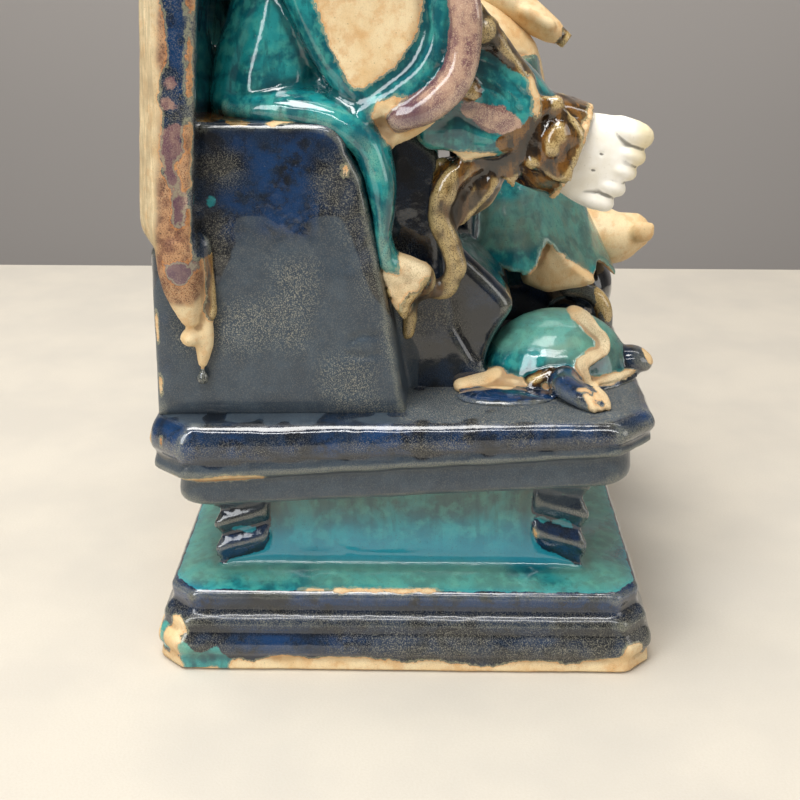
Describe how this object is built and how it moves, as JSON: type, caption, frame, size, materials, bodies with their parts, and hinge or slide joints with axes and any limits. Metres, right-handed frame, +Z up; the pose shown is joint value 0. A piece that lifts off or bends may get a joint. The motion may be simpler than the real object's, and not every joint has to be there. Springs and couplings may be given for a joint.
{
  "type": "seated taoist deity figure",
  "caption": "Glazed pottery figure of a seated barefoot deity on a throne with a back board, a tortoise and snake at its feet, on a waisted stand.",
  "frame": {"origin": "middle of the stand's width, on its flat underside, at the place of the mount base_underside", "axes": "+Z up, the deity faces -Y, its left hand side is +X"},
  "size_m": [0.204, 0.1925, 0.386],
  "materials": {
    "glazed_body": "thick turquoise, navy, plum and amber glazes over buff clay",
    "white_plaster": "dull white plaster, yellowed at the toes",
    "glazed_stand": "turquoise and navy glaze, bare buff clay at the foot rim"
  },
  "bodies": {
    "root": {"deity_on_throne": "glazed_body", "restored_right_foot": "white_plaster", "stand": "glazed_stand"}
  },
  "joints": []
}
